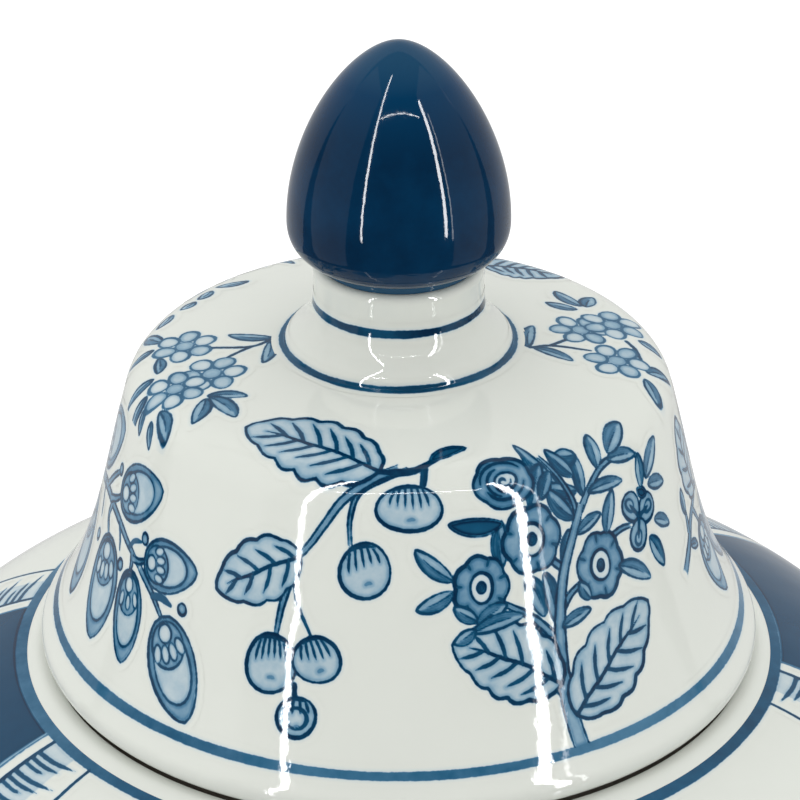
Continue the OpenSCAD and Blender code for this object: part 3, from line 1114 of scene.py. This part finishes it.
def grid(low, high, step):
    """Values from low to high, about a step apart."""
    return np.linspace(low, high, max(2, round((high - low) / step)) + 1)


def skins(prefix, sectors, surface, s, step, marks, finish):
    """A painted skin for each sector. A sector ends where the next one starts."""
    ends = [start for name, start in sectors[1:]] + [sectors[0][1] + 360]
    for (name, low), high in zip(sectors, ends):
        painted(prefix + name, surface, s, grid(low, high, step), marks, PAINT_LIFT, finish)


def build_jar(white, cobalt, foot_clay, painted_seat_shade):
    """The body, bare clay on its foot ring, dark painted shade in its seat groove, and the paint over it."""
    profile = join(body_inside_curve(), collar_curve(), body_outside_curve(), foot_curve())
    body = lathe("jar_glaze", profile, (white, "jar", JAR_SLOT))
    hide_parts("jar_body")
    body.data.materials.append(foot_clay)
    body.data.materials.append(painted_seat_shade)
    for face in body.data.polygons:
        r, z = math.hypot(face.center.x, face.center.y) / MM, face.center.z / MM
        on_ring = r > FOOT_R - FOOT_RING - 2.1
        if on_ring and (z < 1.2 or (z < BASE_Z + 0.5 and face.normal.z < -0.3)):
            face.material_index = 1
        # The seat groove is coloured dark: painted shade for the dark seam under the lid's lip
        if SEAT_R - 1.1 < r < SEAT_END and LEDGE_Z - SEAT_DEEP - 1 < z < LEDGE_Z - 0.02:
            face.material_index = 2

    finish = (cobalt, "jar", JAR_SLOT)
    surface = Surface(body_outside_curve())
    drawing = body_drawing()
    turned = 360 * BODY_MM_PER_DEG
    top_band = band(1.0, 3.0, 0.74, 0.12)

    def marks(down, degrees):
        x = degrees * BODY_MM_PER_DEG
        drawn = nearest(paint(drawing, x, -down), paint(drawing, x - turned, -down))
        return nearest(drawn, top_band(down, degrees))

    skins("shoulder_paint_", BODY_SECTORS, surface, grid(0, SHOULDER_END, 0.4), 0.32, marks, finish)
    skins("body_paint_", BODY_SECTORS, surface, grid(SHOULDER_END, BODY_END, 0.75), 0.4, marks, finish)
    for name, down, width, strength in (("panel_ring", 279, 2.4, 0.85), ("foot_ring_upper", 319, 1.2, 0.8),
                                        ("foot_ring_lower", 325, 3.0, 0.9)):
        ring(name, surface, down, width, strength, 0.12, finish)


def build_lid(white, cobalt):
    """The lid, with the wall's and the crown's drawings on one run of skins, and two rings."""
    bore = [(TENON_R, STEM_TOP)]
    profile = join(bore, stem_curve(), lid_wall_curve(), lid_inside_curve())
    shell = lathe("lid_glaze", profile, (white, "lid", LID_SLOT))
    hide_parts("lid_shell")

    finish = (cobalt, "lid", LID_SLOT)
    surface = Surface(lid_wall_curve())
    on_wall = lid_wall_drawing()
    on_crown = drawing_of(crown_leaf, crown_blossoms_left, crown_blossoms_right, crown_back)
    lip_band = band(85.9, 1.9, 0.68, 0.08)

    def marks(down, degrees):
        drawn = paint(on_wall, degrees * WALL_MM_PER_DEG, -down)
        r = surface.radius(down)
        a = np.radians(degrees)
        top = down < CROWN_REACH
        above = [np.full(down.shape, REACH), np.zeros(down.shape), np.zeros(down.shape)]
        for whole, part in zip(above, paint(on_crown, (r * np.sin(a))[top], (-r * np.cos(a))[top])):
            whole[top] = part
        return nearest(nearest(drawn, above), lip_band(down, degrees))

    skins("crown_paint_", CROWN_SECTORS, surface, grid(1.6, CROWN_LIMIT, 0.28), 0.4, marks, finish)
    skins("lid_paint_", LID_SECTORS, surface, grid(CROWN_LIMIT, SKIRT_END, 0.28), 0.27, marks, finish)

    neck = Surface(stem_curve())
    stem_foot = neck.s[np.argmin(np.abs(neck.points[:, 1] - STEM_Z + 0.5))]
    ring("stem_ring", neck, stem_foot, 1.6, 0.95, 0.06, finish)
    whole_lid = Surface(join(stem_curve(), lid_wall_curve()))
    ring("crown_ring", whole_lid, neck.s[-1] + 0.1, 1.9, 0.78, 0.08, finish)


def build_knob(navy):
    """The knob and its tenon, which ends level with the inside of the crown."""
    tenon = TENON_R - 0.05
    low = CROWN_Z + math.sqrt((CROWN_R - LID_WALL) ** 2 - TENON_R ** 2)
    profile = join(knob_curve()[::-1], [(tenon, STEM_TOP), (tenon, low), (0, low)])
    knob = lathe("knob_glaze", profile, (navy, "lid", "navy_glaze"), 192)
    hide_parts("finial")


# ---- the set

AIM = (0.0, 0.0, 0.3732)
CAMERA_AWAY = 0.8
CAMERA_UP = 27.5
FLOOR_REACH = 30.0
# Name, degrees round, degrees up, strength and softness in degrees
FILLS = (
    ("fill_above", 0, 90, 2.95, 170),
    ("fill_front", 0, 25, 0.2, 150),
    ("fill_left", -100, 20, 0.7, 120),
    ("fill_right", 105, 20, 0.36, 120),
    ("fill_back", 180, 20, 0.7, 120))
# Name, degrees round, degrees up, metres away, width, height and radiance
PANELS = (
    ("strip_left", -37, 30, 1.6, 0.06, 3.0, 36),
    ("strip_right", 47.5, 20, 1.6, 0.095, 2.0, 36),
    ("strip_faint", 54.5, 14, 1.6, 0.035, 1.7, 9),
    ("strip_top", 2, 50, 1.6, 1.5, 0.012, 60),
    ("side_left", -76, 12, 1.0, 0.9, 2.2, 0.42),
    ("side_right", 78, 12, 1.0, 0.9, 2.2, 0.42),
    ("backdrop", 180, 12, 0.6, 3.6, 2.0, 0.5))


def direction(azimuth, elevation):
    """The unit vector from the jar towards a place: degrees round from the camera's side, and up."""
    a, e = math.radians(azimuth), math.radians(elevation)
    return np.array([math.sin(a) * math.cos(e), -math.cos(a) * math.cos(e), math.sin(e)])


def look_at(obj, place, target):
    """Put a camera or a light at a place, facing the target."""
    obj.location = place
    away = Vector(place) - Vector(target)
    obj.rotation_euler = away.to_track_quat("Z", "Y").to_euler()


def panel_light(name, azimuth, elevation, away, width, height, radiance):
    """A panel of light facing the lid, there only for its reflection in the glaze."""
    data = bpy.data.lights.new(name, "AREA")
    data.shape = "RECTANGLE"
    data.size = width
    data.size_y = height
    data.energy = radiance * math.pi * width * height
    light = new_object(name, data)
    look_at(light, (np.array(AIM) + away * direction(azimuth, elevation)).tolist(), AIM)
    light.visible_camera = False
    light.visible_diffuse = False


def fill_light(name, azimuth, elevation, strength, softness):
    """Broad, even light from one side that leaves no reflection in the glaze."""
    data = bpy.data.lights.new(name, "SUN")
    data.energy = strength
    data.angle = math.radians(softness)
    light = new_object(name, data)
    look_at(light, (2 * direction(azimuth, elevation)).tolist(), (0, 0, 0))
    light.visible_glossy = False


def build_set():
    """The camera, the floor, the world and the lights."""
    data = bpy.data.cameras.new("camera")
    data.lens = 180
    data.sensor_width = 36
    data.shift_x = 0.0015
    data.clip_start = 0.01
    camera = new_object("camera", data)
    look_at(camera, (np.array(AIM) + CAMERA_AWAY * direction(0, CAMERA_UP)).tolist(), AIM)
    bpy.context.scene.camera = camera

    mesh = bpy.data.meshes.new("floor")
    corners = [(x * FLOOR_REACH, y * FLOOR_REACH, 0) for x, y in ((-1, -1), (1, -1), (1, 1), (-1, 1))]
    mesh.from_pydata(corners, [], [(0, 1, 2, 3)])
    mesh.materials.append(floor_white())
    floor = new_object("floor", mesh)
    floor.visible_glossy = False

    world = bpy.data.worlds.new("studio")
    world.use_nodes = True
    background = world.node_tree.nodes["Background"]
    background.inputs["Color"].default_value = (1.0, 1.0, 1.0, 1.0)
    background.inputs["Strength"].default_value = 0.1
    bpy.context.scene.world = world
    bpy.context.scene.view_settings.view_transform = "Standard"

    for row in FILLS:
        fill_light(*row)
    for row in PANELS:
        panel_light(*row)


WHITE = white_glaze()
COBALT_GLAZE = painted_glaze()
FOOT_CLAY = matt_clay_and_shade("foot_clay", (196, 184, 162), (226, 216, 198))
# The seat groove's dark tones are painted shade, the seam's shadow under the lid's lip
PAINTED_SEAT_SHADE = matt_clay_and_shade("painted_seat_shade", (84, 78, 68), (112, 104, 92))
build_jar(WHITE, COBALT_GLAZE, FOOT_CLAY, PAINTED_SEAT_SHADE)
build_lid(WHITE, COBALT_GLAZE)
build_knob(navy_glaze())
build_set()
